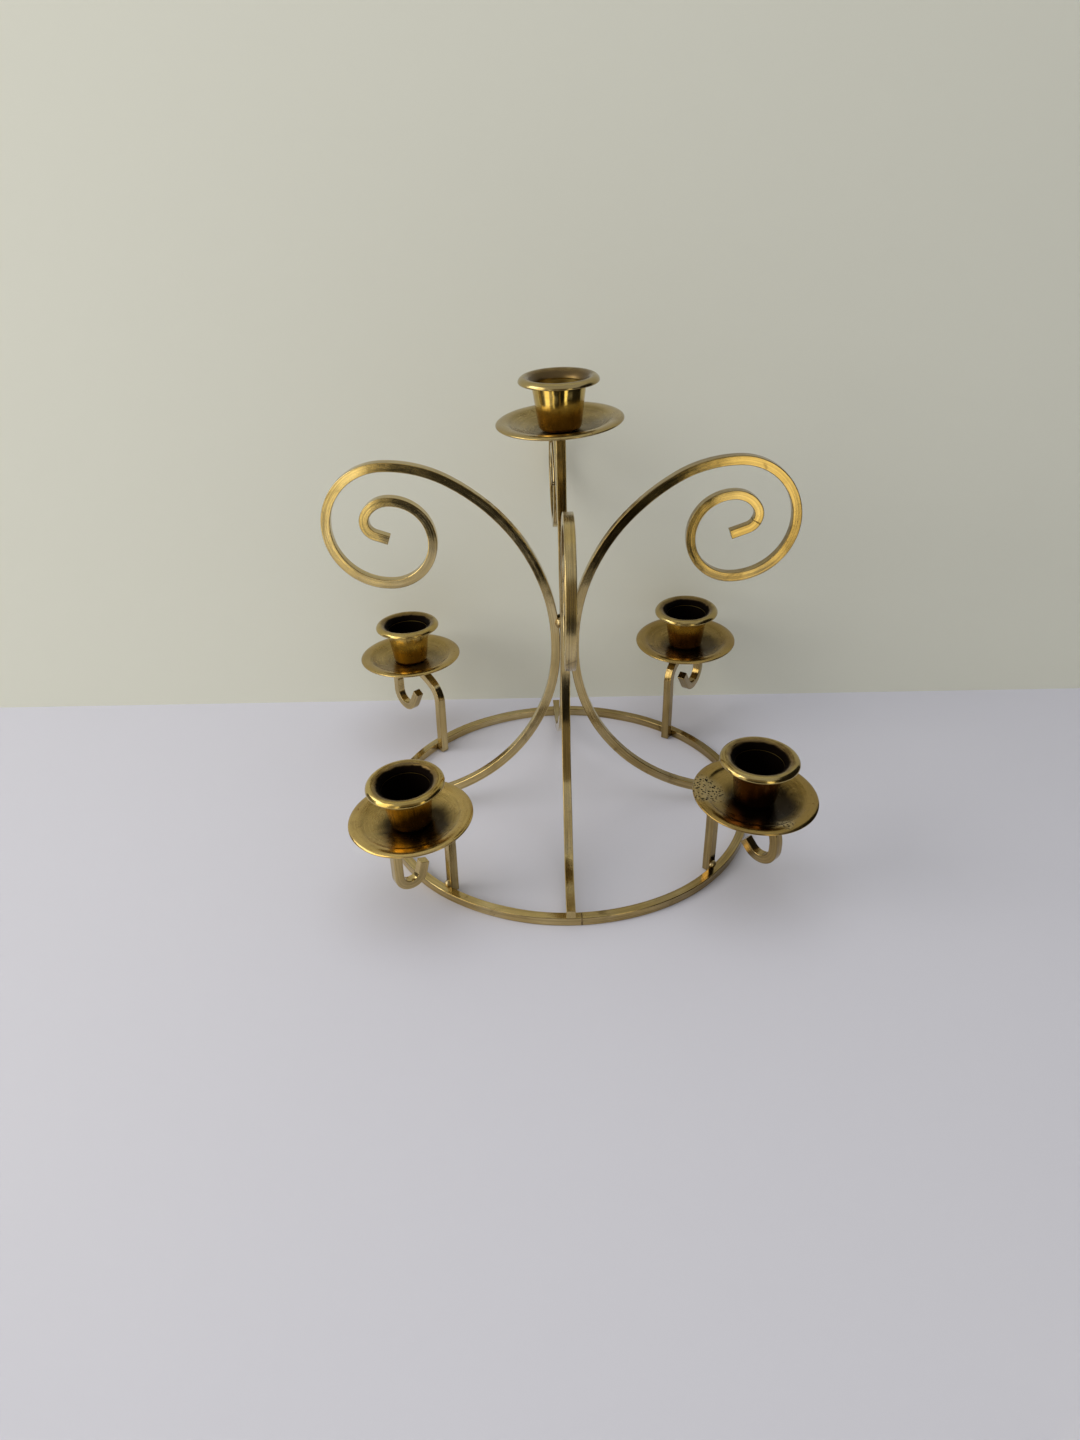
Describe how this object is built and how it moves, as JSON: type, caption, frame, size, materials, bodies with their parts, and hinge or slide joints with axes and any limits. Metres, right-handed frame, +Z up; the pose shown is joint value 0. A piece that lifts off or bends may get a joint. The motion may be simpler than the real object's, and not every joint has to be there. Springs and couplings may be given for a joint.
{
  "type": "candelabra",
  "caption": "Table candelabra of bent square brass bar: scrolls rise from a ring to a post, crooks stand between them, and each support carries a drip plate and a flared candle cup.",
  "frame": {"origin": "on the floor under the middle of the base ring, which is the middle of the bounding box's underside to within about 2 mm", "axes": "+Z up, +X to the right and +Y away from the viewer as the picture shows it, so the front scroll's foot lies towards -Y"},
  "size_m": [0.2455, 0.2396, 0.2453],
  "materials": {
    "bar_brass": "aged lacquered brass bar, satin, with brown tarnish",
    "plate_brass": "spun sheet brass, satin, brighter rolled rim",
    "cup_brass": "polished brass gone amber, dark inside",
    "rivet_brass": "dull brass",
    "weld_brass": "brazing metal, a little rough"
  },
  "bodies": {
    "root": {"base_ring": "bar_brass", "ring_joint_weld": "weld_brass", "scroll_right": "bar_brass", "scroll_back": "bar_brass", "scroll_left": "bar_brass", "scroll_front": "bar_brass", "foot_weld_right": "weld_brass", "foot_weld_back": "weld_brass", "foot_weld_left": "weld_brass", "foot_weld_front": "weld_brass", "post_weld_right_back": "weld_brass", "post_weld_back_left": "weld_brass", "post_weld_left_front": "weld_brass", "post_weld_front_right": "weld_brass", "centre_post": "bar_brass", "crook_front_left": "bar_brass", "crook_front_right": "bar_brass", "crook_back_right": "bar_brass", "crook_back_left": "bar_brass", "crook_weld_front_left": "weld_brass", "crook_weld_front_right": "weld_brass", "crook_weld_back_right": "weld_brass", "crook_weld_back_left": "weld_brass", "drip_plate_top": "plate_brass", "drip_plate_front_left": "plate_brass", "drip_plate_front_right": "plate_brass", "drip_plate_back_right": "plate_brass", "drip_plate_back_left": "plate_brass", "candle_cup_top": "cup_brass", "candle_cup_front_left": "cup_brass", "candle_cup_front_right": "cup_brass", "candle_cup_back_right": "cup_brass", "candle_cup_back_left": "cup_brass", "cup_rivet_top": "rivet_brass", "cup_rivet_front_left": "rivet_brass", "cup_rivet_front_right": "rivet_brass", "cup_rivet_back_right": "rivet_brass", "cup_rivet_back_left": "rivet_brass"}
  },
  "joints": []
}
